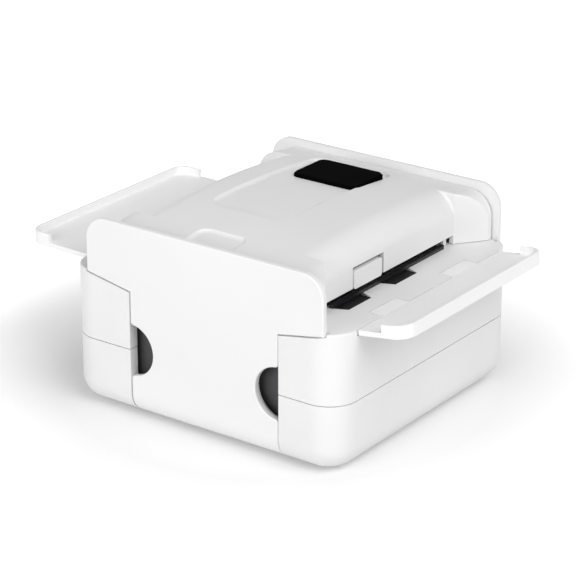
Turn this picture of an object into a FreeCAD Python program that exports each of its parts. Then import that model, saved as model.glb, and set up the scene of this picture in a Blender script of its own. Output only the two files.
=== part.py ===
# Thermal label printer with its front and rear flaps folded open.
# X runs across the label, the label leaves towards -Y, and Z = 0 is the table under the feet.
# The sizes below count Y from the middle of the case.
import FreeCAD, Part
import math
import os

V = FreeCAD.Vector
os.makedirs("parts", exist_ok=True)

# Case
body_width = 168.0
body_depth = 176.0
corner_radius = 17.0
bottom_radius = 13.0
foot_height = 2.0
seam_height = 40.0
deck_height = 79.0
seam_gap = 0.5
wall = 2.5
lip_rise = 3.0
lip_wall = 1.2
lip_clearance = 0.2
deck_edge_radius = 1.0

# Side panels
panel_thickness = 3.0
panel_clearance = 0.4
panel_slit = 0.5
panel_front = 79.0
panel_rear = 74.0
panel_rise = 31.0
panel_corner = 13.0
panel_end_drop = 0.8
panel_tongue_drop = 6.0
tongue_front = 51.0
tongue_rear = 45.0
notch_radius = 14.5
notch_edge_radius = 2.0
well_margin = 1.6
panel_post_radius = 2.5
panel_post_length = 5.0
panel_post_play = 0.3
panel_edge_radius = 0.8

# Top cover
cover_gap = 0.5
cover_lift = 0.4
cover_height = 32.5
crown_drop = 6.0
cover_front = 62.8
cover_rear = 58.0
wing_front = 75.0
wing_rear = 68.5
cover_round = 14.0
cover_edge_radius = 1.2
cheek_edge_radius = 1.0
mouth_height = 5.5
cheek_flare = 16.0
pocket_depth = 1.4
pocket_soft = 3.5
pocket_x = (-34.0, 71.0)
pocket_y = (-19.0, 34.0)
pocket_corner = 9.0
scoop_edge = -58.0
scoop_y = (-16.0, 16.0)
scoop_corner = 7.0
hinge_back = 63.0
hinge_rise = 4.0
hinge_open = 60.0
ear_radius = 3.2
ear_width = 8.0
ear_side_gap = 5.5
ear_inner_gap = 2.5
hinge_pin_radius = 1.5
hinge_wall = 4.0

# Feed button
button_x = (30.0, 60.0)
button_y = (-19.0, 24.0)
button_corner = 5.0
button_stand = 1.6
button_depth = 5.0
button_play = 0.35
button_travel = 1.2
switch_board_thickness = 1.6

# Release tab
tab_left = -34.5
tab_right = -9.3
tab_side_gap = 2.4
tab_top_gap = 1.8
tab_height = 11.5
tab_thickness = 2.4
tab_stand = 0.6
tab_play = 0.4
tab_travel = 2.0
latch_bar_height = 3.0
latch_bar_depth = 1.6
latch_hook_width = 3.0
latch_hook_reach = 3.0

# Flaps
flap_half = 67.0
flap_reach = 29.0
rear_flap_reach = 42.0
flap_thickness = 3.0
flap_rise = 8.0
rear_flap_rise = 1.0
flap_corner = 9.0
flap_lip = 4.4
flap_lip_wall = 2.2
flap_lip_return = 15.0
flap_gap = 0.4
flap_tab_inner = 21.0
flap_tab_outer = 44.5
flap_tab_back = 8.0
flap_play = 0.4
flap_axis_in = 2.5
flap_pin_radius = 0.9
flap_pin_seat = 3.0
flap_beam_depth = 11.0
flap_beam_height = 9.0
flap_rebate = 0.6
flap_edge_radius = 0.7

# Paper drive
platen_y = -48.0
platen_radius = 9.0
platen_proud = 0.6
roller_gear_gap = 3.0
platen_shaft_radius = 3.0
bush_radius = 5.0
bush_flange_radius = 5.7
bush_flange = 1.2
running_clearance = 0.05
gear_module = 0.8
platen_teeth = 20
idler_teeth = 40
pinion_teeth = 16
gear_width = 6.0
gear_side_gap = 4.8
gear_backlash = 0.16
idler_bearing_angle = -60.0
motor_bearing_angle = -26.0
idler_axle_radius = 2.0
motor_shaft_radius = 2.5
motor_size = 35.0
motor_length = 24.0
motor_corner = 4.0
motor_collar_radius = 9.0
motor_collar = 1.5
bracket_thickness = 2.0
bracket_foot = 10.0
bracket_margin = 3.0

# Chassis
chassis_side_gap = 1.5
chassis_plate = 2.5
chassis_front = 60.0
chassis_rear = 55.0
chassis_base = 10.0
chassis_gap = 0.3

# Print head
head_inset = 1.0
head_depth = 15.0
head_thickness = 3.0
head_gap = 0.3
head_travel = 1.0
sink_half = 52.0
sink_depth = 13.0
sink_base = 1.5
sink_height = 5.0
sink_fins = 5
sink_fin = 1.2
carrier_half = 57.0
carrier_thickness = 3.0
carrier_lift = 6.0
carrier_post_radius = 3.0
carrier_post_x = 50.0
carrier_post_pitch = 7.0
head_spring_x = 46.0
head_spring_width = 8.0
spring_strip = 0.4

# Label path
tear_bar_half = 52.0
tear_bar_depth = 2.2
tear_bar_height = 2.4
tear_tooth = 2.0
insert_centres = (-38.0, 4.5)
insert_rear_half = 14.5
insert_front_half = 10.0
insert_length = 10.0
insert_depth = 3.0
insert_seat = 0.2
sensor_width = 20.0
sensor_depth = 14.0
sensor_height = 6.0
sensor_flange = 2.0
guide_opening = 118.0
guide_travel = 28.0
guide_wall = 3.0
guide_front = 5.0
guide_length = 46.0
guide_height = 5.0
guide_float = 0.3
guide_shoe = 12.0
guide_shoe_thickness = 1.0
guide_leg = 5.0
rack_module = 1.0
rack_teeth = 20
rack_centre_y = 32.0
rack_height = 4.5
rack_back = 4.0
rack_overrun = 9.0
pinion_post_radius = 2.0

# Electronics
board_x = (-56.0, 20.0)
board_front = 26.0
board_thickness = 1.6
board_standoff = 3.5
board_rear_gap = 4.5
standoff_radius = 3.0
chip_size = (12.0, 12.0, 1.4)
chip_place = (-14.0, 46.0)
driver_size = (10.0, 10.0, 1.2)
driver_place = (-39.0, 43.0)
capacitor_radius = 4.0
capacitor_height = 9.0
capacitor_x = (2.0, 12.0)
capacitor_y = 36.0
inlet_x = -50.0
inlet_size = (9.0, 14.0, 11.0)
inlet_hole_radius = 3.2
inlet_pin_radius = 1.0
port_x = -30.0
port_size = (12.0, 16.0, 10.8)
port_wall = 0.8
switch_x = 45.0
switch_z = 24.0
switch_size = (21.0, 12.0, 15.0)
switch_bezel = 1.5
switch_throw = 12.0
switch_axis_in = 2.0
switch_pivot_radius = 1.0
switch_pivot_reach = 0.8
rocker_play = 0.35
connector_play = 0.3

# Feet and screws
foot_radius = 7.0
foot_recess = 1.0
foot_x = 52.0
foot_y = 60.0
screw_radius = 1.5
screw_head_radius = 3.0
screw_head = 2.0
screw_play = 0.25
screw_grip = 0.03
boss_radius = 4.5
case_screw_x = 61.0
case_screw_y = 69.0
case_screw_length = 52.0
chassis_screw_inset = 10.0
chassis_screw_front = 46.0
chassis_screw_rear = 18.0
motor_screw_pitch = 26.0
motor_screw_length = 6.0

# Places that follow from the sizes above
half_w = body_width / 2
half_d = body_depth / 2
floor_z = foot_height
inner_floor = floor_z + wall
deck_under = deck_height - wall
panel_inner = half_w - panel_thickness
recess_depth = panel_thickness + panel_clearance
cover_half = panel_inner - cover_gap
ear_outer = cover_half - ear_side_gap
ear_inner = ear_outer - ear_width
mouth_half = ear_inner - ear_inner_gap - hinge_wall
chassis_outer = panel_inner - panel_post_length - chassis_side_gap
chassis_inner = chassis_outer - chassis_plate
chassis_screw_x = chassis_inner - chassis_screw_inset
gear_end = chassis_inner - bush_flange - gear_side_gap
gear_start = gear_end - gear_width
platen_half = gear_start - roller_gear_gap
head_half = platen_half - head_inset
cover_bottom = deck_height + cover_lift
cover_crown = deck_height + cover_height
cover_edge = cover_crown - crown_drop
panel_top = deck_height + panel_rise
mouth_top = deck_height + mouth_height
hinge_z = deck_height + hinge_rise
platen_z = deck_height + platen_proud - platen_radius
platen_gear_r = gear_module * platen_teeth / 2
idler_r = gear_module * idler_teeth / 2
pinion_r = gear_module * pinion_teeth / 2
idler_y = platen_y + (platen_gear_r + idler_r) * math.cos(math.radians(idler_bearing_angle))
idler_z = platen_z + (platen_gear_r + idler_r) * math.sin(math.radians(idler_bearing_angle))
motor_y = idler_y + (idler_r + pinion_r) * math.cos(math.radians(motor_bearing_angle))
motor_z = idler_z + (idler_r + pinion_r) * math.sin(math.radians(motor_bearing_angle))
bracket_x = gear_start - 2 * bracket_thickness
chassis_top = chassis_base + chassis_plate
head_bottom = deck_height + platen_proud + head_gap
head_top = head_bottom + head_thickness
sink_top = head_top + sink_height
carrier_bottom = sink_top + carrier_lift
carrier_top = carrier_bottom + carrier_thickness
rack_r = rack_module * rack_teeth / 2
rack_top = deck_under - guide_float
board_bottom = chassis_top + board_standoff
board_top = board_bottom + board_thickness
board_rear = half_d - board_rear_gap
big = 3 * body_width


def box(x0, x1, y0, y1, z0, z1):
    return Part.makeBox(x1 - x0, y1 - y0, z1 - z0, V(x0, y0, z0))


def rod_x(x0, x1, y, z, radius):
    return Part.makeCylinder(radius, x1 - x0, V(x0, y, z), V(1, 0, 0))


def rod_y(x, y0, y1, z, radius):
    return Part.makeCylinder(radius, y1 - y0, V(x, y0, z), V(0, 1, 0))


def rod_z(x, y, z0, z1, radius):
    return Part.makeCylinder(radius, z1 - z0, V(x, y, z0), V(0, 0, 1))


def fuse(first, *rest):
    return first.multiFuse(list(rest)).removeSplitter()


def mirror_x(shape):
    return shape.mirror(V(0, 0, 0), V(1, 0, 0))


def mirror_y(shape):
    return shape.mirror(V(0, 0, 0), V(0, 1, 0))


def edges_along(shape, axis, keep):
    """Straight edges parallel to an axis whose middle point passes the test keep."""
    found = []
    for edge in shape.Edges:
        if isinstance(edge.Curve, Part.Line):
            if abs(edge.tangentAt(edge.FirstParameter).dot(axis)) > 0.999:
                if keep(edge.CenterOfMass):
                    found.append(edge)
    return found


def rounded_block(x0, x1, y0, y1, z0, z1, radius):
    block = box(x0, x1, y0, y1, z0, z1)
    return block.makeFillet(radius, edges_along(block, V(0, 0, 1), lambda p: True))


def prism(points, direction):
    closed = list(points) + [points[0]]
    return Part.Face(Part.makePolygon(closed)).extrude(direction)


def flap_end(reach, rise):
    """How far an open flap stands out from the middle of the case."""
    turn = math.radians(rise)
    out = (reach - flap_edge_radius) * math.cos(turn) + (flap_thickness - flap_edge_radius) * math.sin(turn)
    return half_d + flap_gap + out + flap_edge_radius


origin_y = (flap_end(rear_flap_reach, rear_flap_rise) - flap_end(flap_reach, flap_rise)) / 2


def save(name, shape):
    """Write one piece, with Y = 0 half way between the ends of the open flaps."""
    placed = shape.copy()
    placed.translate(V(0, -origin_y, 0))
    placed.exportStep("parts/" + name + ".step")


def body_solid(inset, top):
    """The case's outer form, drawn in by inset at its sides and floor."""
    block = rounded_block(-half_w + inset, half_w - inset, -half_d + inset, half_d - inset,
                          floor_z + inset, top, corner_radius - inset)
    low = [e for e in block.Edges if e.BoundBox.ZMax < floor_z + inset + 0.01]
    return block.makeFillet(bottom_radius - inset, low)


def panel_prism(grow, x0, x1):
    """The T-shaped outline of the left side panel, grown on every side."""
    front = -panel_front - grow
    rear = panel_rear + grow
    top = panel_top + grow
    end_low = deck_height - panel_end_drop - grow
    tongue_low = deck_height - panel_tongue_drop - grow
    outline = [(front, top), (rear, top), (rear, end_low), (tongue_rear + grow, tongue_low),
               (tongue_rear + grow, floor_z - wall), (-tongue_front - grow, floor_z - wall),
               (-tongue_front - grow, tongue_low), (front, end_low)]
    block = prism([V(x0, y, z) for y, z in outline], V(x1 - x0, 0, 0))
    corners = edges_along(block, V(1, 0, 0), lambda p: p.z > top - 0.01)
    return block.makeFillet(panel_corner + grow, corners)


panel_posts = [(-tongue_front / 2, seam_height / 2), (tongue_rear / 2, seam_height / 2),
               (-tongue_front / 2, seam_height * 1.5), (tongue_rear / 2, seam_height * 1.5)]


def make_side_panel():
    """Left panel: flat above the bottom rounding, and following it below."""
    bend_z = floor_z + bottom_radius
    sheet = panel_prism(0, -half_w, -panel_inner)
    flat = sheet.common(box(-half_w, -panel_inner, -big, big, bend_z, big))
    deep = panel_prism(0, -half_w, -half_w + corner_radius).common(box(-big, 0, -big, big, 0, bend_z))
    curl = deep.common(body_solid(0, big)).cut(body_solid(panel_thickness, big))
    panel = fuse(flat, curl)
    for y in (-tongue_front, tongue_rear):
        panel = panel.cut(rod_x(-big, 0, y, seam_height, notch_radius))
    ends = edges_along(panel, V(1, 0, 0), lambda p: is_notch_end(p))
    panel = panel.makeFillet(notch_edge_radius, ends)
    panel = panel.makeFillet(panel_edge_radius, [e for e in panel.Edges if on_case_skin(e)])
    posts = [rod_x(-panel_inner - 0.1, -panel_inner + panel_post_length, y, z, panel_post_radius)
             for y, z in panel_posts]
    return fuse(panel, *posts)


def is_notch_end(p):
    on_edge = min(abs(p.y + tongue_front), abs(p.y - tongue_rear)) < 0.01
    return on_edge and abs(abs(p.z - seam_height) - notch_radius) < 0.01


def on_case_skin(edge):
    """True for an edge between the panel's outside and its rim."""
    for step in (0.0, 0.5, 1.0):
        p = edge.valueAt(edge.FirstParameter + step * (edge.LastParameter - edge.FirstParameter))
        bend = floor_z + bottom_radius - p.z
        reach = half_w - bottom_radius + math.sqrt(max(bottom_radius ** 2 - max(bend, 0) ** 2, 0))
        if abs(p.x + reach) > 0.01 or p.z < floor_z + 0.01:
            return False
    along_y = abs(edge.tangentAt(edge.FirstParameter).y) > 0.999
    return not along_y or edge.CenterOfMass.z > floor_z + bottom_radius + 0.01


def side_recess():
    """What the left panel and its slits take away from the case."""
    return panel_prism(panel_slit, -half_w - 1, -half_w + corner_radius).cut(body_solid(recess_depth, big))


def side_backing():
    """Wall of the case behind the left panel, with finger wells and post holes."""
    skin = body_solid(wall / 2, deck_height).cut(body_solid(recess_depth + wall, deck_under))
    margin = panel_slit + wall
    reach = -half_w + corner_radius + wall
    tongue = box(-half_w, reach, -tongue_front - margin, tongue_rear + margin, 0, deck_height)
    shoulder = box(-half_w, reach, -panel_front - margin, panel_rear + margin,
                   deck_height - panel_tongue_drop - margin, deck_height)
    backing = skin.common(tongue.fuse(shoulder))
    inside = box(-half_w, 0, -tongue_front - panel_slit, tongue_rear + panel_slit, 0, deck_height)
    for y in (-tongue_front, tongue_rear):
        well = rod_x(-half_w, -half_w + corner_radius, y, seam_height, notch_radius + well_margin)
        backing = backing.cut(well.common(inside))
    for y, z in panel_posts:
        hole = rod_x(-half_w, -half_w + corner_radius, y, z, panel_post_radius + panel_post_play)
        backing = backing.cut(hole)
    return backing


def make_case():
    """The whole case as one hollow form, before the seam splits it."""
    outside = body_solid(0, deck_height)
    rim = [e for e in outside.Edges if e.BoundBox.ZMin > deck_height - 0.01]
    shell = outside.makeFillet(deck_edge_radius, rim).cut(body_solid(wall, deck_under))
    backing = side_backing()
    recess = side_recess()
    return fuse(shell, backing, mirror_x(backing)).cut(recess).cut(mirror_x(recess))


case_corners = [(sx * case_screw_x, sy * case_screw_y) for sx in (-1, 1) for sy in (-1, 1)]
foot_places = [(sx * foot_x, sy * foot_y) for sx in (-1, 1) for sy in (-1, 1)]
chassis_bolts = [(sx * chassis_screw_x, y) for sx in (-1, 1) for y in (-chassis_screw_front,
                                                                       chassis_screw_rear)]
board_posts = [(x, y) for x in (board_x[0] + 2 * standoff_radius, board_x[1] - 2 * standoff_radius)
               for y in (board_front + 2 * standoff_radius, chassis_rear - 2 * standoff_radius)]


def make_lower_shell(case):
    top = seam_height - seam_gap / 2
    shell = case.common(box(-big, big, -big, big, 0, top))
    root = body_solid(wall - 0.5, big).cut(body_solid(wall + lip_clearance + lip_wall, big))
    root = root.common(box(-big, big, -big, big, top - lip_rise, top))
    rise = body_solid(wall + lip_clearance, big).cut(body_solid(wall + lip_clearance + lip_wall, big))
    rise = rise.common(box(-big, big, -big, big, top - 0.1, top + lip_rise))
    clear = 2 * wall + panel_slit
    lip = fuse(root, rise).cut(box(-big, big, -tongue_front - clear, tongue_rear + clear, 0, big))
    bosses = [rod_z(x, y, inner_floor - 0.1, top, boss_radius) for x, y in case_corners]
    bosses += [rod_z(x, y, inner_floor - 0.1, chassis_base, boss_radius) for x, y in chassis_bolts]
    shell = fuse(shell, lip, *bosses)
    for x, y in case_corners:
        shell = shell.cut(rod_z(x, y, 0, top + 1, screw_radius + screw_play))
        shell = shell.cut(rod_z(x, y, 0, inner_floor, screw_head_radius + screw_play))
    for x, y in chassis_bolts:
        shell = shell.cut(rod_z(x, y, inner_floor, big, screw_radius + screw_grip))
    for x, y in foot_places:
        shell = shell.cut(rod_z(x, y, 0, floor_z + foot_recess, foot_radius))
    for x, size in ((inlet_x, inlet_size), (port_x, port_size)):
        hole = box(x - size[0] / 2 - connector_play, x + size[0] / 2 + connector_play, board_rear - wall, big,
                   board_top - connector_play, board_top + size[2] + connector_play)
        shell = shell.cut(hole)
    hole = box(switch_x - switch_size[0] / 2 - connector_play, switch_x + switch_size[0] / 2 + connector_play,
               half_d - 2 * wall, big, switch_z - switch_size[2] / 2 - connector_play,
               switch_z + switch_size[2] / 2 + connector_play)
    return shell.cut(hole)


def flap_pocket():
    """Room for the front flap's two hinge tabs, its pins and its inner edge."""
    face = -half_d
    tools = [box(-flap_half - flap_play, flap_half + flap_play, face - 1, face + flap_rebate,
                 deck_height - flap_thickness - flap_play, big)]
    swing = math.hypot(flap_tab_back - flap_axis_in, flap_thickness / 2) + flap_play
    axis_z = deck_height - flap_thickness / 2
    for x0, x1 in ((-flap_tab_outer, -flap_tab_inner), (flap_tab_inner, flap_tab_outer)):
        tools.append(box(x0 - flap_play, x1 + flap_play, face - 1, face + flap_axis_in + swing,
                         deck_height - flap_thickness - flap_play, big))
        tools.append(box(x0 - flap_play, x1 + flap_play, face + flap_axis_in - flap_thickness / 2 - flap_play / 2,
                         face + flap_axis_in + swing, axis_z - swing, deck_height))
        tools.append(rod_x(x0 - flap_pin_seat, x1 + flap_pin_seat, face + flap_axis_in, axis_z,
                           flap_pin_radius + screw_grip))
    return tools


def insert_outline(centre, grow):
    rear = -cover_front + insert_length / 3 + grow
    front = -cover_front - insert_length * 2 / 3 - grow
    wide = insert_rear_half + grow
    narrow = insert_front_half + grow
    return [(centre - wide, rear), (centre + wide, rear), (centre + narrow, front), (centre - narrow, front)]


def make_upper_shell(case):
    bottom = seam_height + seam_gap / 2
    shell = case.common(box(-big, big, -big, big, bottom, deck_height))
    beam_half = flap_tab_outer + 2 * flap_pin_seat
    beam = box(-beam_half, beam_half, -half_d + wall / 2, -half_d + flap_beam_depth,
               deck_height - flap_beam_height, deck_under + 0.1)
    posts = [rod_z(x, y, bottom, deck_under + 0.1, boss_radius) for x, y in case_corners]
    ears = []
    for x0, x1 in ((-ear_outer, -ear_inner), (ear_inner, ear_outer)):
        ears.append(box(x0, x1, hinge_back - 2 * ear_radius, hinge_back + ear_radius / 2, deck_under, hinge_z))
        ears.append(rod_x(x0, x1, hinge_back, hinge_z, ear_radius))
    pinion_post = rod_z(0, rack_centre_y, rack_top - rack_height - guide_float, deck_under + 0.1,
                        pinion_post_radius)
    trays = []
    for centre in insert_centres:
        outline = insert_outline(centre, insert_seat + wall / 2)
        floor = deck_height - insert_depth - wall / 2
        trays.append(prism([V(x, y, floor) for x, y in outline], V(0, 0, deck_under + 0.1 - floor)))
    shell = fuse(shell, beam, mirror_y(beam), pinion_post, *posts, *ears, *trays)
    for tool in flap_pocket():
        shell = shell.cut(tool).cut(mirror_y(tool))
    for x, y in case_corners:
        shell = shell.cut(rod_z(x, y, 0, floor_z + case_screw_length + wall, screw_radius + screw_grip))
    for x0 in (-big, 0):
        shell = shell.cut(rod_x(x0, x0 + big, hinge_back, hinge_z, hinge_pin_radius + running_clearance))
    shell = shell.cut(box(-mouth_half + 1, gear_end + 1, platen_y - platen_radius - 1,
                          platen_y + platen_radius + 1,
                          deck_under - 1, big).cut(box(mouth_half - 1, big, -big, big, deck_height, big)))
    for x in (-mouth_half + wall, mouth_half - wall - latch_hook_width):
        shell = shell.cut(box(x - 1, x + latch_hook_width + 1, -cover_front + wall, platen_y,
                              deck_under - 1, deck_height + 1))
    for centre in insert_centres:
        outline = insert_outline(centre, insert_seat)
        shell = shell.cut(prism([V(x, y, deck_height - insert_depth) for x, y in outline], V(0, 0, wall * 4)))
    shell = shell.cut(box(-sensor_width / 2 - insert_seat, sensor_width / 2 + insert_seat,
                          -sensor_depth / 2 - insert_seat, sensor_depth / 2 + insert_seat, deck_under - 1, big))
    for sign in (-1, 1):
        y = guide_leg_y(sign)
        start = guide_opening / 2 - guide_leg - guide_travel - guide_float
        slot = box(start, guide_opening / 2 + guide_float, y - guide_float, y + rack_back + guide_float,
                   deck_under - 1,
                   deck_height + 1)
        shell = shell.cut(mirror_x(slot) if sign < 0 else slot)
    return shell


def guide_leg_y(sign):
    """Lower Y limit of a guide's leg: the left guide runs in front of the pinion, the right one behind."""
    back = rack_r + 1.1 * rack_module
    return rack_centre_y - back - rack_back if sign < 0 else rack_centre_y + back


def crown(half, edge, top, y0, y1, bottom, rounding):
    """A block whose top is an arc across X, rounded over at its front and rear."""
    arc = Part.Arc(V(-half, y0, edge), V(0, y0, top), V(half, y0, edge)).toShape()
    sides = Part.makePolygon([V(half, y0, edge), V(half, y0, bottom), V(-half, y0, bottom), V(-half, y0, edge)])
    block = Part.Face(Part.Wire([arc] + sides.Edges)).extrude(V(0, y1 - y0, 0))
    ends = [e for e in block.Edges if not isinstance(e.Curve, Part.Line)]
    return block.makeFillet(rounding, ends) if rounding else block


def make_top_cover():
    wings = crown(cover_half, cover_edge, cover_crown, -wing_front, wing_rear, cover_bottom, cover_round)
    wings = wings.makeFillet(cover_edge_radius, [e for e in wings.Edges if is_cover_side(e)])
    centre = crown(cover_half, cover_edge, cover_crown, -cover_front, cover_rear, cover_bottom, cover_round)
    front_room = prism([V(-mouth_half, 0, 0), V(mouth_half, 0, 0), V(mouth_half, -cover_front, 0),
                        V(mouth_half + cheek_flare, -wing_front, 0), V(mouth_half + cheek_flare, -big, 0),
                        V(-mouth_half - cheek_flare, -big, 0), V(-mouth_half - cheek_flare, -wing_front, 0),
                        V(-mouth_half, -cover_front, 0)], V(0, 0, big))
    rear_room = box(-mouth_half, mouth_half, 0, big, 0, big)
    cover = wings.cut(front_room.cut(centre)).cut(rear_room.cut(centre))
    cover = cover.makeFillet(cheek_edge_radius, [e for e in cover.Edges if is_front_cheek(e)])
    hollow = crown(cover_half - wall, cover_edge - wall, cover_crown - wall, -cover_front + wall,
                   cover_rear - wall,
                   0, cover_round - wall)
    cover = cover.cut(hollow)
    for y0, y1 in ((-big, -cover_front + 2 * wall), (cover_rear - 2 * wall, big)):
        cover = cover.cut(box(-mouth_half, mouth_half, y0, y1, 0, mouth_top))
    cover = cover.cut(hinge_clearance())
    post_top = surface_z(carrier_post_x) - 0.9 * wall
    posts = [rod_z(sx * carrier_post_x, platen_y + sy * carrier_post_pitch / 2, carrier_top, post_top,
                   carrier_post_radius) for sx in (-1, 1) for sy in (-1, 1)]
    cover = fuse(cover, *posts)
    for x0 in (-big, 0):
        cover = cover.cut(rod_x(x0, x0 + big, hinge_back, hinge_z, hinge_pin_radius + screw_grip))
    pocket = soft_pocket(pocket_x[0], pocket_x[1], pocket_y, pocket_corner)
    scoop = soft_pocket(-cover_half - 2 * scoop_corner, scoop_edge, scoop_y, scoop_corner)
    cover = cover.cut(pocket).cut(scoop)
    cover = fuse(cover, button_frame())
    cover = cover.cut(rounded_block(button_x[0] - button_play, button_x[1] + button_play,
                                    button_y[0] - button_play,
                                    button_y[1] + button_play, button_seat(), big, button_corner + button_play))
    notch = box(tab_left - tab_play, tab_right + tab_side_gap, -big, -cover_front + wall + 1, 0,
                mouth_top + tab_height)
    return cover.cut(notch)


def soft_pocket(x0, x1, y, corner):
    """A shallow pocket that follows the crown and runs out in a soft slope."""
    block = rounded_block(x0, x1, y[0], y[1], 0, big, corner)
    tool = block.cut(crown(body_width, sunk_z(body_width), sunk_z(0), -big, big, 0, 0))
    low = [e for e in tool.Edges if e.BoundBox.ZMax < cover_crown]
    return tool.makeFillet(pocket_soft, low)


def sunk_z(x):
    return surface_z(x) - pocket_depth


def is_cover_side(edge):
    """True for the top edges along the side panels."""
    middle = edge.CenterOfMass
    return abs(abs(middle.x) - cover_half) < 0.01 and middle.z > cover_edge - cover_round


def is_front_cheek(edge):
    """True for the curved edges where the front cheeks meet the top."""
    middle = edge.CenterOfMass
    curved = not isinstance(edge.Curve, (Part.Line, Part.Circle))
    inboard = mouth_half - 0.1 < abs(middle.x) < cover_half - 2 * cover_edge_radius
    return curved and inboard and middle.y < -cover_front + cover_round and middle.z > cover_edge - cover_round


def hinge_clearance():
    """Room for the hinge ears in the rear of both wings, and for the deck as the cover swings open."""
    tools = []
    for sign in (-1, 1):
        pocket = box(mouth_half + hinge_wall, cover_half - wall, cover_rear - 2 * wall, wing_rear - wall / 2,
                     0, hinge_z + 4 * ear_radius)
        tools.append(pocket if sign > 0 else mirror_x(pocket))
    heel = box(-big, big, hinge_back, big, 0, hinge_z)
    tools.append(heel.cut(rod_x(-big, big, hinge_back, hinge_z, hinge_rise - cover_lift)))
    swung = box(-big, big, hinge_back - big, hinge_back + big, deck_height - big, cover_bottom)
    swung.rotate(V(0, hinge_back, hinge_z), V(1, 0, 0), hinge_open)
    tools.append(swung.common(box(-big, big, hinge_back, big, 0, big)))
    return fuse(tools[0], *tools[1:])


def surface_z(x):
    """Height of the crowned top above a place across the cover."""
    rise = cover_crown - cover_edge
    radius = (cover_half ** 2 + rise ** 2) / (2 * rise)
    return cover_crown - radius + math.sqrt(radius ** 2 - x ** 2)


def button_top():
    return surface_z((button_x[0] + button_x[1]) / 2) + button_stand


def button_seat():
    return button_top() - button_depth - button_travel - button_play


def button_frame():
    """Well under the top that holds the feed button and its board."""
    low = button_seat() - wall
    frame = rounded_block(button_x[0] - wall, button_x[1] + wall, button_y[0] - wall, button_y[1] + wall,
                          low, big,
                          button_corner + wall)
    under = crown(cover_half, cover_edge - pocket_depth, cover_crown - pocket_depth, -big, big, 0, 0)
    return frame.common(under)


def make_feed_button():
    pad = rounded_block(button_x[0], button_x[1], button_y[0], button_y[1], button_top() - button_depth,
                        button_top(),
                        button_corner)
    rim = [e for e in pad.Edges if e.BoundBox.ZMin > button_top() - 0.01]
    return pad.makeChamfer(button_stand * 0.6, rim)


def make_button_board():
    low = button_seat() - wall - switch_board_thickness
    return box(button_x[0], button_x[1], button_y[0], button_y[1], low, low + switch_board_thickness)


def make_release_tab():
    face = -cover_front - tab_stand
    pad = box(tab_left, tab_right, face, face + tab_thickness, mouth_top - 0.5,
              mouth_top + tab_height - tab_top_gap)
    outer = edges_along(pad, V(0, 1, 0), lambda p: True)
    pad = pad.makeFillet(1.5, outer)
    bar_y = -cover_front + wall + tab_play
    bar_z = sink_top + head_travel + 2 * tab_play
    stem = box(tab_left + 4, tab_right - 4, face + tab_thickness - 0.1, bar_y + latch_bar_depth, bar_z,
               bar_z + latch_bar_height)
    bar_half = mouth_half - wall
    bar = box(-bar_half, bar_half, bar_y, bar_y + latch_bar_depth, bar_z, bar_z + latch_bar_height)
    hooks = [box(x, x + latch_hook_width, bar_y, bar_y + latch_bar_depth, deck_height - latch_hook_reach,
                 bar_z + 0.1)
             for x in (-bar_half, bar_half - latch_hook_width)]
    return fuse(pad, stem, bar, *hooks)


def latch_rear():
    return -cover_front + wall + tab_play + latch_bar_depth


def make_latch_spring():
    """Strip hung from the carrier, where the latch bar meets it at the end of its travel."""
    x = (tab_left + tab_right) / 2
    half = head_spring_width / 2
    y = latch_rear() + tab_travel + tab_play
    low = sink_top + head_travel + 2 * tab_play
    drop = box(x - half, x + half, y, y + spring_strip, low, carrier_bottom)
    top = box(x - half, x + half, y, y + 2 * latch_hook_width, carrier_bottom - spring_strip, carrier_bottom)
    return fuse(drop, top)


def make_flap(reach, rise):
    """Front flap: a tray with a raised lip round its outer edge and two hinge tabs."""
    inner = -half_d - flap_gap
    outer = inner - reach
    tray = rounded_block(-flap_half, flap_half, outer, inner + 2 * flap_corner, deck_height - flap_thickness,
                         deck_height + flap_lip, flap_corner)
    core = rounded_block(-flap_half + flap_lip_wall, flap_half - flap_lip_wall, outer + flap_lip_wall,
                         inner + 2 * flap_corner, deck_height, big, flap_corner - flap_lip_wall)
    open_side = box(-big, big, outer + flap_lip_return, big, deck_height, big)
    tray = tray.cut(core).cut(open_side).cut(box(-big, big, inner, big, 0, big))
    rim = [e for e in tray.Edges if e.CenterOfMass.y < inner - 0.1 and e.BoundBox.YMin < inner - 1]
    tray = tray.makeFillet(flap_edge_radius, [e for e in rim if is_flap_rim(e, outer)])
    tray.rotate(V(0, inner, deck_height), V(1, 0, 0), -rise)
    tabs = [box(x0, x1, inner - flap_thickness, -half_d + flap_tab_back, deck_height - flap_thickness,
                deck_height)
            for x0, x1 in ((-flap_tab_outer, -flap_tab_inner), (flap_tab_inner, flap_tab_outer))]
    flap = fuse(tray, *tabs)
    bore = rod_x(-big, big, -half_d + flap_axis_in, deck_height - flap_thickness / 2,
                 flap_pin_radius + running_clearance)
    return flap.cut(bore)


def is_flap_rim(edge, outer):
    """True for the outer edges of the tray and of its lip."""
    flat = edge.BoundBox.ZMax - edge.BoundBox.ZMin < 0.01
    low = edge.BoundBox.ZMax < deck_height - flap_thickness + 0.01
    high = edge.BoundBox.ZMin > deck_height + flap_lip - 0.01
    return flat and (low or high)


def make_flap_pins():
    pins = []
    for x0, x1 in ((-flap_tab_outer, -flap_tab_inner), (flap_tab_inner, flap_tab_outer)):
        pins.append(rod_x(x0 - flap_pin_seat + flap_play, x1 + flap_pin_seat - flap_play,
                          -half_d + flap_axis_in,
                          deck_height - flap_thickness / 2, flap_pin_radius))
    return Part.makeCompound(pins)


def make_hinge_pins():
    start = mouth_half + flap_play
    pin = rod_x(start, cover_half - flap_play, hinge_back, hinge_z, hinge_pin_radius)
    return Part.makeCompound([pin, mirror_x(pin)])


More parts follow.
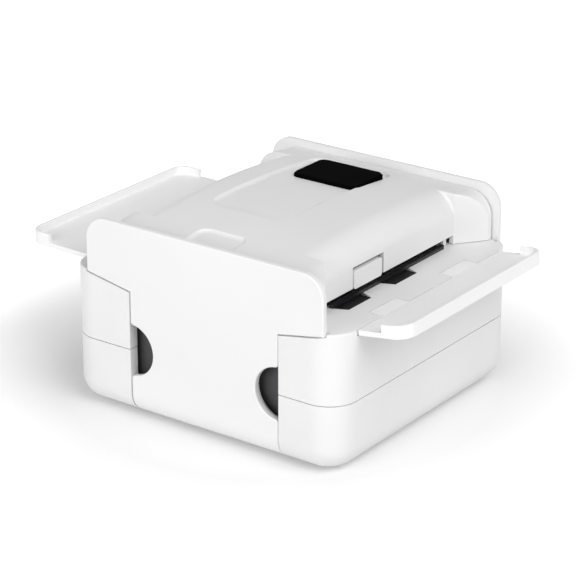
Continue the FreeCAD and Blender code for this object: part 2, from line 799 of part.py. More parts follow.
def make_gear(teeth, module, width, bore, phase):
    """Spur gear about +Z with involute flanks of 20 degrees; phase is the angle of one tooth's middle."""
    pressure = math.radians(20)
    pitch_r = module * teeth / 2
    base_r = pitch_r * math.cos(pressure)
    tip_r = pitch_r + 0.8 * module
    root_r = pitch_r - 1.1 * module
    half = math.pi / (2 * teeth) - gear_backlash / (2 * pitch_r)
    start_r = max(base_r, root_r)
    flank = []
    for step in range(5):
        r = start_r + (tip_r - start_r) * step / 4
        slope = math.acos(base_r / r)
        flank.append((r, half + math.tan(pressure) - pressure - math.tan(slope) + slope))
    flank = [(root_r, flank[0][1])] + flank if root_r < start_r else flank
    points = []
    for tooth in range(teeth):
        middle = phase + 2 * math.pi * tooth / teeth
        points += [V(r * math.cos(middle - a), r * math.sin(middle - a), 0) for r, a in flank]
        points += [V(r * math.cos(middle + a), r * math.sin(middle + a), 0) for r, a in reversed(flank)]
    blank = prism(points, V(0, 0, width))
    return blank.cut(rod_z(0, 0, -1, width + 1, bore))


def lay_along_x(gear, y, z):
    """Turn a gear's axis from Z to X, so that its angle runs from +Y towards +Z, and set it in place."""
    gear.Placement = FreeCAD.Placement(V(gear_start, y, z), FreeCAD.Rotation(V(0, 1, 0), V(0, 0, 1), V(1,
                                                                                                       0, 0), "ZXY"))
    return gear


def mesh_phase(driver_phase, driver_r, direction, follower_r, module):
    """Angle of a follower's tooth that stands in a gap of the driver in the given direction."""
    shift = driver_r * (driver_phase - direction) + math.pi * module / 2
    return direction + math.pi - shift / follower_r


idler_from_platen = math.radians(idler_bearing_angle)
motor_from_idler = math.radians(motor_bearing_angle)
platen_phase = idler_from_platen
idler_phase = mesh_phase(platen_phase, platen_gear_r, idler_from_platen, idler_r, gear_module)
pinion_phase = mesh_phase(idler_phase, idler_r, motor_from_idler, pinion_r, gear_module)


def make_chassis():
    """Dark moulded tray with two side plates that carry the platen and the gears."""
    top = deck_under - chassis_gap
    tray = box(-chassis_outer, chassis_outer, -chassis_front, chassis_rear, chassis_base, chassis_top)
    sides = []
    for x in (-chassis_outer, chassis_inner):
        sides.append(box(x, x + chassis_plate, -chassis_front, chassis_rear, chassis_base, top))
    chassis = fuse(tray, *sides)
    chassis = chassis.cut(rod_x(-big, big, platen_y, platen_z, bush_radius + screw_grip))
    chassis = chassis.cut(rod_x(gear_end, big, idler_y, idler_z, idler_axle_radius + screw_grip))
    for x, y in chassis_bolts:
        chassis = chassis.cut(rod_z(x, y, 0, big, screw_radius + screw_play))
    posts = [rod_z(x, y, chassis_top - 0.1, board_bottom, standoff_radius) for x, y in board_posts]
    return fuse(chassis, *posts)


def make_bushes():
    bushes = []
    for sign in (-1, 1):
        barrel = rod_x(chassis_inner - bush_flange, chassis_outer, platen_y, platen_z, bush_radius)
        flange = rod_x(chassis_inner - bush_flange, chassis_inner, platen_y, platen_z, bush_flange_radius)
        bush = fuse(barrel, flange).cut(rod_x(0, big, platen_y, platen_z,
                                              platen_shaft_radius + running_clearance))
        bushes.append(bush if sign > 0 else mirror_x(bush))
    return Part.makeCompound(bushes)


def make_motor():
    start = bracket_x - motor_length
    half = motor_size / 2
    can = box(start, bracket_x, motor_y - half, motor_y + half, motor_z - half, motor_z + half)
    can = can.makeChamfer(motor_corner, edges_along(can, V(1, 0, 0), lambda p: True))
    collar = rod_x(bracket_x - 0.1, bracket_x + motor_collar, motor_y, motor_z, motor_collar_radius)
    motor = fuse(can, collar).cut(rod_x(start + wall, big, motor_y, motor_z,
                                        motor_shaft_radius + running_clearance))
    for dy, dz in motor_holes():
        motor = motor.cut(rod_x(bracket_x - motor_screw_length, bracket_x, motor_y + dy, motor_z + dz,
                                screw_radius + screw_grip))
    return motor


def motor_holes():
    half = motor_screw_pitch / 2
    return [(sy * half, sz * half) for sy in (-1, 1) for sz in (-1, 1)]


def make_motor_bracket():
    half = motor_size / 2 + bracket_margin
    plate = box(bracket_x, bracket_x + bracket_thickness, motor_y - half, motor_y + half, chassis_top,
                motor_z + half)
    foot = box(bracket_x - bracket_foot, bracket_x + bracket_thickness, motor_y - half, motor_y + half,
               chassis_top,
               chassis_top + bracket_thickness)
    bracket = fuse(plate, foot)
    bracket = bracket.cut(rod_x(0, big, motor_y, motor_z, motor_collar_radius + screw_grip))
    for dy, dz in motor_holes():
        bracket = bracket.cut(rod_x(0, big, motor_y + dy, motor_z + dz, screw_radius + screw_play))
    return bracket


def make_print_head():
    """Ceramic head on its metal plate, with the heating line over the platen."""
    plate = box(-head_half, head_half, platen_y - head_depth / 2, platen_y + head_depth / 2, head_bottom,
                head_top)
    return plate.makeChamfer(0.6, edges_along(plate, V(1, 0, 0), lambda p: p.z < head_bottom + 0.1))


def make_heat_sink():
    y0 = platen_y - sink_depth / 2
    sink = box(-sink_half, sink_half, y0, y0 + sink_depth, head_top, head_top + sink_base)
    pitch = (sink_depth - sink_fin) / (sink_fins - 1)
    fins = [box(-sink_half, sink_half, y0 + i * pitch, y0 + i * pitch + sink_fin, head_top, sink_top)
            for i in range(sink_fins)]
    return fuse(sink, *fins)


def make_head_carrier():
    return box(-carrier_half, carrier_half, latch_rear() + 2 * tab_travel, platen_y + head_depth / 2,
               carrier_bottom,
               carrier_top)


def make_head_springs():
    """Two bowed strips that press the head down from the carrier."""
    strips = []
    for x in (-head_spring_x, head_spring_x):
        low = sink_top
        y0 = platen_y - sink_depth / 3
        y1 = platen_y + sink_depth / 3
        outer = Part.Arc(V(x, y0, carrier_bottom), V(x, platen_y, low), V(x, y1, carrier_bottom)).toShape()
        inner = Part.Arc(V(x, y1 - spring_strip, carrier_bottom), V(x, platen_y, low + spring_strip),
                         V(x, y0 + spring_strip, carrier_bottom)).toShape()
        ends = [Part.makeLine(V(x, y1, carrier_bottom), V(x, y1 - spring_strip, carrier_bottom)),
                Part.makeLine(V(x, y0 + spring_strip, carrier_bottom), V(x, y0, carrier_bottom))]
        face = Part.Face(Part.Wire([outer, ends[0], inner, ends[1]]))
        strip = face.extrude(V(head_spring_width, 0, 0))
        strip.translate(V(-head_spring_width / 2, 0, 0))
        strips.append(strip)
    return Part.makeCompound(strips)


def make_tear_bar():
    """Serrated strip on the deck just inside the outlet."""
    y0 = -cover_front + tab_play
    bar = box(-tear_bar_half, tear_bar_half, y0, y0 + tear_bar_depth, deck_height,
              deck_height + tear_bar_height)
    count = int(2 * tear_bar_half / tear_tooth)
    pitch = 2 * tear_bar_half / count
    top = deck_height + tear_bar_height
    points = []
    for i in range(count):
        x = -tear_bar_half + i * pitch
        points += [V(x, y0, top), V(x + pitch / 2, y0, top - pitch / 2)]
    points += [V(tear_bar_half, y0, top), V(tear_bar_half, y0, top + 1), V(-tear_bar_half, y0, top + 1)]
    return bar.cut(prism(points, V(0, tear_bar_depth / 2, 0)))


def make_inserts():
    """Black wedges in the deck that lift the label's edge out of the outlet."""
    wedges = []
    for centre in insert_centres:
        outline = insert_outline(centre, 0)
        low = deck_height - insert_depth
        wedge = prism([V(x, y, low) for x, y in outline], V(0, 0, insert_depth))
        rear = outline[0][1]
        front = outline[2][1]
        slope = prism([V(-big, rear, low + insert_depth / 3), V(-big, front, deck_height), V(-big, front,
                                                                                             deck_height + 1),
                       V(-big, rear, deck_height + 1)], V(2 * big, 0, 0))
        wedges.append(wedge.cut(slope))
    return Part.makeCompound(wedges)


def make_gap_sensor():
    body = box(-sensor_width / 2, sensor_width / 2, -sensor_depth / 2, sensor_depth / 2,
               deck_height - sensor_height,
               deck_height)
    grow = sensor_flange
    flange = box(-sensor_width / 2 - grow, sensor_width / 2 + grow, -sensor_depth / 2 - grow,
                 sensor_depth / 2 + grow,
                 deck_height - sensor_height, deck_under)
    return fuse(body, flange)


def make_rack(sign, x0, x1):
    """Toothed bar under the deck; sign -1 lies in front of the guide pinion with its teeth towards it."""
    pitch = math.pi * rack_module
    slope = math.tan(math.radians(20))
    half = pitch / 4 - gear_backlash / 2
    tip = half - 0.8 * rack_module * slope
    foot = half + 1.1 * rack_module * slope
    pitch_y = rack_r
    root = pitch_y + 1.1 * rack_module
    crest = pitch_y - 0.8 * rack_module
    points = [(x0, root + rack_back), (x0, root)]
    first = math.ceil((x0 + foot) / pitch - 0.5)
    last = math.floor((x1 - foot) / pitch - 0.5)
    for i in range(first, last + 1):
        c = (i + 0.5) * pitch
        points += [(c - foot, root), (c - tip, crest), (c + tip, crest), (c + foot, root)]
    points += [(x1, root), (x1, root + rack_back)]
    z = rack_top - rack_height
    return prism([V(x, rack_centre_y + sign * y, z) for x, y in points], V(0, 0, rack_height))


def make_guide(sign):
    """Fence, shoe, leg and rack of one label guide, moulded in one; sign -1 is the left guide."""
    face = -guide_opening / 2
    z0 = deck_height + guide_float
    y1 = guide_front + guide_length
    fence = box(face - guide_wall, face, guide_front, y1, z0, z0 + guide_height)
    shoe = box(face - guide_wall, face + guide_shoe, guide_front, y1, z0, z0 + guide_shoe_thickness)
    leg_y = guide_leg_y(sign)
    leg = box(face, face + guide_leg, leg_y, leg_y + rack_back, rack_top - rack_height, z0 + 0.1)
    if sign > 0:
        fence = mirror_x(fence)
        shoe = mirror_x(shoe)
        leg = mirror_x(leg)
        rack = make_rack(sign, -rack_overrun, -face)
    else:
        rack = make_rack(sign, face, rack_overrun)
    return fuse(fence, shoe, leg, rack)


def make_guide_pinion():
    gear = make_gear(rack_teeth, rack_module, rack_height, pinion_post_radius + running_clearance, -math.pi / 2)
    gear.translate(V(0, rack_centre_y, rack_top - rack_height))
    return gear


def make_control_board():
    board = box(board_x[0], board_x[1], board_front, board_rear, board_bottom, board_top)
    chips = [box(x - w / 2, x + w / 2, y - d / 2, y + d / 2, board_top, board_top + h)
             for (x, y), (w, d, h) in ((chip_place, chip_size), (driver_place, driver_size))]
    cans = [rod_z(x, capacitor_y, board_top, board_top + capacitor_height,
                  capacitor_radius) for x in capacitor_x]
    return fuse(board, *chips, *cans)


def make_power_inlet():
    w, d, h = inlet_size
    z = board_top + h / 2
    rear = half_d
    block = box(inlet_x - w / 2, inlet_x + w / 2, rear - d, rear, board_top, board_top + h)
    block = block.cut(rod_y(inlet_x, rear - d + wall, rear + 1, z, inlet_hole_radius))
    return fuse(block, rod_y(inlet_x, rear - d + wall - 0.1, rear - wall / 2, z, inlet_pin_radius))


def make_data_port():
    w, d, h = port_size
    rear = half_d
    shell = box(port_x - w / 2, port_x + w / 2, rear - d, rear, board_top, board_top + h)
    inside = box(port_x - w / 2 + port_wall, port_x + w / 2 - port_wall, rear - d + wall, rear + 1,
                 board_top + port_wall, board_top + h - port_wall)
    tongue = box(port_x - w / 4, port_x + w / 4, rear - d + wall - 0.1, rear - wall, board_top + h / 2 - 1.2,
                 board_top + h / 2 + 1.2)
    return fuse(shell.cut(inside), tongue)


def make_switch_housing():
    w, d, h = switch_size
    rear = half_d
    barrel = box(switch_x - w / 2, switch_x + w / 2, rear - d, rear, switch_z - h / 2, switch_z + h / 2)
    bezel = box(switch_x - w / 2 - switch_bezel, switch_x + w / 2 + switch_bezel, rear, rear + switch_bezel,
                switch_z - h / 2 - switch_bezel, switch_z + h / 2 + switch_bezel)
    room = box(switch_x - w / 2 + switch_bezel, switch_x + w / 2 - switch_bezel, rear - d + wall, rear + wall,
               switch_z - h / 2 + switch_bezel, switch_z + h / 2 - switch_bezel)
    pivot = rod_z(switch_x, rear - switch_axis_in, switch_z - h / 2 + switch_bezel - 1.5 * switch_pivot_reach,
                  switch_z + h / 2 - switch_bezel + 1.5 * switch_pivot_reach, switch_pivot_radius + running_clearance)
    return fuse(barrel, bezel).cut(room).cut(pivot)


def make_power_rocker():
    """Rocker that tips on two stub pins in the mouth of its housing."""
    w, d, h = switch_size
    half = w / 2 - switch_bezel - 2 * rocker_play
    tip = math.radians(switch_throw / 2)
    rear = half_d
    rise = half * math.sin(tip)
    low = rear - wall
    points = [(-half * math.cos(tip), rear + rise), (0, rear), (half * math.cos(tip), rear + rise),
              (half * 0.6, low), (-half * 0.6, low)]
    z0 = switch_z - h / 2 + switch_bezel + rocker_play
    z1 = switch_z + h / 2 - switch_bezel - rocker_play
    rocker = prism([V(switch_x + x, y, z0) for x, y in points], V(0, 0, z1 - z0))
    axis_y = rear - switch_axis_in
    rocker.rotate(V(switch_x, axis_y, 0), V(0, 0, 1), switch_throw / 2)
    reach = rocker_play + switch_pivot_reach
    return fuse(rocker, rod_z(switch_x, axis_y, z0 - reach, z1 + reach, switch_pivot_radius))


def make_feet():
    return Part.makeCompound([rod_z(x, y, 0, floor_z + foot_recess, foot_radius) for x, y in foot_places])


def screw_up(x, y, z, length):
    """Screw driven upwards from a head at height z."""
    head = rod_z(x, y, z, z + screw_head, screw_head_radius)
    head = head.cut(box(x - 0.4, x + 0.4, y - 2, y + 2, z, z + 0.8)).cut(box(x - 2, x + 2, y - 0.4,
                                                                             y + 0.4, z, z + 0.8))
    return fuse(head, rod_z(x, y, z + screw_head - 0.1, z + length, screw_radius))


def make_case_screws():
    z = inner_floor - screw_head
    return Part.makeCompound([screw_up(x, y, z, case_screw_length) for x, y in case_corners])


def make_chassis_screws():
    screws = []
    for x, y in chassis_bolts:
        head = rod_z(x, y, chassis_top, chassis_top + screw_head, screw_head_radius)
        screws.append(fuse(head, rod_z(x, y, inner_floor + 0.5, chassis_top + 0.1, screw_radius)))
    return Part.makeCompound(screws)


def make_motor_screws():
    face = bracket_x + bracket_thickness
    screws = []
    for dy, dz in motor_holes():
        head = rod_x(face, face + 0.8 * screw_head, motor_y + dy, motor_z + dz, screw_head_radius)
        shank = rod_x(bracket_x - motor_screw_length + 0.5, face + 0.1, motor_y + dy, motor_z + dz,
                      screw_radius)
        screws.append(fuse(head, shank))
    return Part.makeCompound(screws)


case = make_case()
save("lower_shell", make_lower_shell(case))
save("upper_shell", make_upper_shell(case))
left_panel = make_side_panel()
save("left_side_panel", left_panel)
save("right_side_panel", mirror_x(left_panel))

save("top_cover", make_top_cover())
save("cover_hinge_pins", make_hinge_pins())
save("feed_button", make_feed_button())
save("button_board", make_button_board())
save("release_tab", make_release_tab())
save("latch_spring", make_latch_spring())
save("head_carrier", make_head_carrier())
save("head_springs", make_head_springs())
save("print_head", make_print_head())
save("heat_sink", make_heat_sink())

front_flap = make_flap(flap_reach, flap_rise)
rear_flap = make_flap(rear_flap_reach, rear_flap_rise)
front_pins = make_flap_pins()
save("front_flap", front_flap)
save("rear_flap", mirror_y(rear_flap))
save("front_flap_pins", front_pins)
save("rear_flap_pins", mirror_y(front_pins))

save("chassis_frame", make_chassis())
save("platen_roller", rod_x(-platen_half, platen_half, platen_y, platen_z, platen_radius).cut(
    rod_x(-big, big, platen_y, platen_z, platen_shaft_radius)))
save("platen_shaft", rod_x(-chassis_outer, chassis_outer, platen_y, platen_z, platen_shaft_radius))
save("platen_bushes", make_bushes())
platen_gear = make_gear(platen_teeth, gear_module, gear_width, platen_shaft_radius, platen_phase)
save("platen_gear", lay_along_x(platen_gear, platen_y, platen_z))
idler_bore = idler_axle_radius + running_clearance
idler_gear = make_gear(idler_teeth, gear_module, gear_width, idler_bore, idler_phase)
save("idler_gear", lay_along_x(idler_gear, idler_y, idler_z))
save("idler_axle", rod_x(gear_start - bracket_thickness / 2, chassis_outer, idler_y, idler_z,
                         idler_axle_radius))
motor_pinion = make_gear(pinion_teeth, gear_module, gear_width, motor_shaft_radius, pinion_phase)
save("motor_pinion", lay_along_x(motor_pinion, motor_y, motor_z))
save("motor_shaft", rod_x(bracket_x - motor_length + wall + 0.5, gear_end + 1, motor_y, motor_z,
                          motor_shaft_radius))
save("stepper_motor", make_motor())
save("motor_bracket", make_motor_bracket())
save("motor_screws", make_motor_screws())

save("tear_bar", make_tear_bar())
save("outlet_inserts", make_inserts())
save("gap_sensor", make_gap_sensor())
save("left_label_guide", make_guide(-1))
save("right_label_guide", make_guide(1))
save("guide_pinion", make_guide_pinion())

save("control_board", make_control_board())
save("power_inlet", make_power_inlet())
save("data_port", make_data_port())
save("switch_housing", make_switch_housing())
save("power_rocker", make_power_rocker())

save("rubber_feet", make_feet())
save("case_screws", make_case_screws())
save("chassis_screws", make_chassis_screws())
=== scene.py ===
import math
import bpy
from mathutils import Matrix, Vector


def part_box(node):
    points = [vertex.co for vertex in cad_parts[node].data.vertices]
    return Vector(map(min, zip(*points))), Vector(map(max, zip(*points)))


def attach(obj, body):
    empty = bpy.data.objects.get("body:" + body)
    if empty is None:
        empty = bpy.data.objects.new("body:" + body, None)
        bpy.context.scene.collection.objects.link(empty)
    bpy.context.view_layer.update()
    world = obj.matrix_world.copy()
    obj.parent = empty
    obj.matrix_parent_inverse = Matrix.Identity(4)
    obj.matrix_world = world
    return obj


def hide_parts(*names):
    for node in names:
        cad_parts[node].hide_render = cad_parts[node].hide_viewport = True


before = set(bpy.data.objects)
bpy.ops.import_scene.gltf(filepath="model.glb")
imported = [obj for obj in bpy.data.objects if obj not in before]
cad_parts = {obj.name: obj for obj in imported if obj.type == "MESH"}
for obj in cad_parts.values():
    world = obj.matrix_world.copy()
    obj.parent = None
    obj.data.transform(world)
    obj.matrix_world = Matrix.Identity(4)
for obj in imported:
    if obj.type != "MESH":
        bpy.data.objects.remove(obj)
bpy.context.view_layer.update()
scene = bpy.context.scene
mm = 0.001


# Case shells: a lower and an upper moulding in white ABS that meet at a thin seam half way up.
# Both come from the same press, so they share one slightly warm white with a fine eroded grain.
# Four screws from below hold them together.
def moulded_plastic(name, light, dark, roughness, grain_mm, grain_depth_mm, patch_mm=60.0):
    """Pigmented plastic: cloudy colour over the whole piece, and a fine grain left by the mould."""
    mat = bpy.data.materials.new(name)
    mat.use_nodes = True
    nodes, links = mat.node_tree.nodes, mat.node_tree.links
    shader = nodes["Principled BSDF"]
    coord = nodes.new("ShaderNodeTexCoord")
    cloud = nodes.new("ShaderNodeTexNoise")
    cloud.inputs["Scale"].default_value = 1000.0 / patch_mm
    cloud.inputs["Detail"].default_value = 4.0
    tint = nodes.new("ShaderNodeValToRGB")
    tint.color_ramp.elements[0].position = 0.32
    tint.color_ramp.elements[0].color = (*dark, 1)
    tint.color_ramp.elements[1].position = 0.68
    tint.color_ramp.elements[1].color = (*light, 1)
    grain = nodes.new("ShaderNodeTexNoise")
    grain.inputs["Scale"].default_value = 1000.0 / grain_mm
    grain.inputs["Detail"].default_value = 2.0
    gloss = nodes.new("ShaderNodeMapRange")
    gloss.inputs["To Min"].default_value = roughness - 0.06
    gloss.inputs["To Max"].default_value = roughness + 0.06
    bump = nodes.new("ShaderNodeBump")
    bump.inputs["Strength"].default_value = 0.5
    bump.inputs["Distance"].default_value = grain_depth_mm * mm
    links.new(coord.outputs["Object"], cloud.inputs["Vector"])
    links.new(coord.outputs["Object"], grain.inputs["Vector"])
    links.new(cloud.outputs["Fac"], tint.inputs["Fac"])
    links.new(tint.outputs["Color"], shader.inputs["Base Color"])
    links.new(grain.outputs["Fac"], gloss.inputs["Value"])
    links.new(gloss.outputs["Result"], shader.inputs["Roughness"])
    links.new(grain.outputs["Fac"], bump.inputs["Height"])
    links.new(bump.outputs["Normal"], shader.inputs["Normal"])
    return mat


def dress(material, *names):
    """Give CAD pieces their finish."""
    for name in names:
        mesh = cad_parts[name].data
        mesh.materials.clear()
        mesh.materials.append(material)


case_white = moulded_plastic("case_white", (0.84, 0.835, 0.835), (0.8, 0.797, 0.797), 0.46, 0.55, 0.012)
dress(case_white, "lower_shell", "upper_shell")


# Rubber feet: four round pads of dark soft rubber, pressed into shallow recesses under the case.
# Each has a rounded rim and one ring groove in its sole, so that it grips a smooth table.
# The mould leaves a matt, slightly dusty surface.
def add_drum(name, radius, depth, centre, sides=64, turn=(0.0, 0.0, 0.0)):
    """A drum about its own axis, with its place in its mesh, selected and active."""
    bpy.ops.object.select_all(action="DESELECT")
    bpy.ops.mesh.primitive_cylinder_add(vertices=sides, radius=radius, depth=depth, location=centre,
                                        rotation=turn)
    piece = bpy.context.object
    piece.name = name
    bpy.ops.object.transform_apply(location=True, rotation=True, scale=True)
    return piece


def pick_faces(piece, wanted):
    """Enter edit mode with only the faces selected whose centre and normal pass the test."""
    bpy.ops.object.mode_set(mode="EDIT")
    bpy.context.tool_settings.mesh_select_mode = (False, False, True)
    bpy.ops.mesh.select_all(action="DESELECT")
    bpy.ops.object.mode_set(mode="OBJECT")
    for face in piece.data.polygons:
        face.select = bool(wanted(face.center, face.normal))
    bpy.ops.object.mode_set(mode="EDIT")


def pick_edges(piece, wanted):
    """Enter edit mode with only the edges selected whose two ends both pass the test."""
    bpy.ops.object.mode_set(mode="EDIT")
    bpy.context.tool_settings.mesh_select_mode = (False, True, False)
    bpy.ops.mesh.select_all(action="DESELECT")
    bpy.ops.object.mode_set(mode="OBJECT")
    points = piece.data.vertices
    for edge in piece.data.edges:
        edge.select = all(wanted(points[i].co) for i in edge.vertices)
    bpy.ops.object.mode_set(mode="EDIT")


def fit(piece, material, body, crease=35.0):
    """Finish a modelled piece: smooth shading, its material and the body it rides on."""
    if bpy.context.mode != "OBJECT":
        bpy.ops.object.mode_set(mode="OBJECT")
    bpy.ops.object.select_all(action="DESELECT")
    piece.select_set(True)
    bpy.context.view_layer.objects.active = piece
    bpy.ops.object.shade_smooth_by_angle(angle=math.radians(crease))
    piece.data.materials.clear()
    piece.data.materials.append(material)
    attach(piece, body)


foot_rubber = moulded_plastic("foot_rubber", (0.045, 0.045, 0.047), (0.03, 0.03, 0.032), 0.78, 0.4, 0.03, 6.0)
feet_low, feet_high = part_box("rubber_feet")
foot_radius = 7.0 * mm
foot_rim = 0.8 * mm
sole_band = 2.2 * mm
groove_width = 1.2 * mm
groove_depth = 0.6 * mm
groove_slope = 0.2 * mm
sole_level = feet_low[2] + 0.1 * mm
foot_height = feet_high[2] - feet_low[2]
foot_count = 0
for foot_x in (feet_low[0] + foot_radius, feet_high[0] - foot_radius):
    for foot_y in (feet_low[1] + foot_radius, feet_high[1] - foot_radius):
        foot_count += 1
        foot = add_drum(f"rubber_foot_{foot_count}", foot_radius, foot_height,
                        (foot_x, foot_y, feet_low[2] + foot_height / 2))
        pick_edges(foot, lambda p: p.z < sole_level)
        bpy.ops.mesh.bevel(offset=foot_rim, segments=4)
        pick_faces(foot, lambda c, n: n.z < -0.99 and c.z < sole_level)
        bpy.ops.mesh.inset(thickness=sole_band)
        bpy.ops.mesh.inset(thickness=groove_slope, depth=-groove_depth)
        bpy.ops.mesh.inset(thickness=groove_width)
        bpy.ops.mesh.inset(thickness=groove_slope, depth=groove_depth)
        fit(foot, foot_rubber, "base")
        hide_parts("rubber_feet")


# Chassis: a dark grey moulded tray with two side plates, seen through the finger notches of the panels.
# It is glass-filled plastic with a coarse grain, screwed to the floor of the case.
# The roller, the gears, the motor and the control board are all held by it.
chassis_grey = moulded_plastic("chassis_grey", (0.085, 0.086, 0.089), (0.062, 0.063, 0.066), 0.58, 0.8, 0.03,
                               18.0)
chassis_grey.node_tree.nodes["Principled BSDF"].inputs["Specular IOR Level"].default_value = 0.3
dress(chassis_grey, "chassis_frame")


# Screws: zinc-plated steel with low round heads.
# Four long ones close the case, four short ones hold the chassis, and four hold the motor.
# The plating is thin and bright, with faint turning lines round the shank.
def drawn_metal(name, light, dark, roughness, along, streak_mm=0.12):
    """Bare metal with fine drawing lines along one axis."""
    mat = bpy.data.materials.new(name)
    mat.use_nodes = True
    nodes, links = mat.node_tree.nodes, mat.node_tree.links
    shader = nodes["Principled BSDF"]
    shader.inputs["Metallic"].default_value = 1.0
    coord = nodes.new("ShaderNodeTexCoord")
    stretch = nodes.new("ShaderNodeMapping")
    fine = 1000.0 / streak_mm
    stretch.inputs["Scale"].default_value = [fine / 60 if axis == along else fine for axis in "XYZ"]
    streaks = nodes.new("ShaderNodeTexNoise")
    streaks.inputs["Scale"].default_value = 1.0
    streaks.inputs["Detail"].default_value = 3.0
    tint = nodes.new("ShaderNodeValToRGB")
    tint.color_ramp.elements[0].position = 0.3
    tint.color_ramp.elements[0].color = (*dark, 1)
    tint.color_ramp.elements[1].position = 0.7
    tint.color_ramp.elements[1].color = (*light, 1)
    gloss = nodes.new("ShaderNodeMapRange")
    gloss.inputs["To Min"].default_value = roughness - 0.08
    gloss.inputs["To Max"].default_value = roughness + 0.08
    bump = nodes.new("ShaderNodeBump")
    bump.inputs["Strength"].default_value = 0.4
    bump.inputs["Distance"].default_value = 0.006 * mm
    links.new(coord.outputs["Object"], stretch.inputs["Vector"])
    links.new(stretch.outputs["Vector"], streaks.inputs["Vector"])
    links.new(streaks.outputs["Fac"], tint.inputs["Fac"])
    links.new(tint.outputs["Color"], shader.inputs["Base Color"])
    links.new(streaks.outputs["Fac"], gloss.inputs["Value"])
    links.new(gloss.outputs["Result"], shader.inputs["Roughness"])
    links.new(streaks.outputs["Fac"], bump.inputs["Height"])
    links.new(bump.outputs["Normal"], shader.inputs["Normal"])
    return mat


screw_zinc = drawn_metal("screw_zinc", (0.66, 0.67, 0.69), (0.52, 0.53, 0.55), 0.32, "X", 0.2)
dress(screw_zinc, "case_screws", "chassis_screws", "motor_screws")


# Platen roller: a sleeve of black rubber, moulded on a ground steel shaft and then ground round.
# The grinding leaves a fine matt bloom with faint lines round the roller.
# Two acetal bushes carry the shaft in the side plates.
def ground_rubber(name, light, dark):
    """Black rubber with the close rings that grinding leaves round a roller along X."""
    mat = moulded_plastic(name, light, dark, 0.72, 0.3, 0.02, 12.0)
    nodes, links = mat.node_tree.nodes, mat.node_tree.links
    coord = next(n for n in nodes if n.bl_idname == "ShaderNodeTexCoord")
    grain = next(n for n in nodes if n.bl_idname == "ShaderNodeBump")
    rings = nodes.new("ShaderNodeTexWave")
    rings.bands_direction = "X"
    rings.inputs["Scale"].default_value = 900.0
    rings.inputs["Distortion"].default_value = 1.5
    relief = nodes.new("ShaderNodeBump")
    relief.inputs["Strength"].default_value = 0.35
    relief.inputs["Distance"].default_value = 0.01 * mm
    links.new(coord.outputs["Object"], rings.inputs["Vector"])
    links.new(rings.outputs["Fac"], relief.inputs["Height"])
    links.new(grain.outputs["Normal"], relief.inputs["Normal"])
    links.new(relief.outputs["Normal"], nodes["Principled BSDF"].inputs["Normal"])
    return mat


dress(ground_rubber("platen_black", (0.03, 0.03, 0.032), (0.018, 0.018, 0.02)), "platen_roller")
pin_steel = drawn_metal("pin_steel", (0.60, 0.61, 0.63), (0.47, 0.48, 0.50), 0.28, "X")
dress(pin_steel, "platen_shaft", "idler_axle", "motor_shaft")
bush_acetal = moulded_plastic("bush_acetal", (0.10, 0.10, 0.105), (0.075, 0.075, 0.08), 0.38, 0.5, 0.01, 10.0)
dress(bush_acetal, "platen_bushes")


# Gears: three spur gears in natural acetal between the motor and the roller, and one more between the guides.
# They are moulded, a little translucent, and smooth from running against each other.
gear_acetal = moulded_plastic("gear_acetal", (0.80, 0.79, 0.74), (0.74, 0.73, 0.67), 0.34, 0.4, 0.006, 14.0)
dress(gear_acetal, "platen_gear", "idler_gear", "motor_pinion", "guide_pinion")


# Stepper motor: a square can of laminated steel, coated dark, on a bracket of zinc-plated sheet.
# The coating is satin and shows the stacked sheets as fine lines across the can.
# The bracket has the blotchy crystals of plated sheet.
dress(drawn_metal("motor_coat", (0.10, 0.10, 0.11), (0.05, 0.05, 0.055), 0.45, "Y", 0.35), "stepper_motor")


def plated_sheet(name, light, dark, crystal_mm):
    """Zinc-plated sheet steel with flat crystals of slightly different brightness."""
    mat = bpy.data.materials.new(name)
    mat.use_nodes = True
    nodes, links = mat.node_tree.nodes, mat.node_tree.links
    shader = nodes["Principled BSDF"]
    shader.inputs["Metallic"].default_value = 1.0
    coord = nodes.new("ShaderNodeTexCoord")
    crystal = nodes.new("ShaderNodeTexVoronoi")
    crystal.inputs["Scale"].default_value = 1000.0 / crystal_mm
    tint = nodes.new("ShaderNodeValToRGB")
    tint.color_ramp.elements[0].position = 0.1
    tint.color_ramp.elements[0].color = (*dark, 1)
    tint.color_ramp.elements[1].position = 0.9
    tint.color_ramp.elements[1].color = (*light, 1)
    gloss = nodes.new("ShaderNodeMapRange")
    gloss.inputs["To Min"].default_value = 0.3
    gloss.inputs["To Max"].default_value = 0.48
    links.new(coord.outputs["Object"], crystal.inputs["Vector"])
    links.new(crystal.outputs["Color"], tint.inputs["Fac"])
    links.new(tint.outputs["Color"], shader.inputs["Base Color"])
    links.new(crystal.outputs["Color"], gloss.inputs["Value"])
    links.new(gloss.outputs["Result"], shader.inputs["Roughness"])
    return mat


zinc_sheet = plated_sheet("zinc_sheet", (0.62, 0.63, 0.64), (0.48, 0.49, 0.50), 2.2)
dress(zinc_sheet, "motor_bracket", "head_carrier")


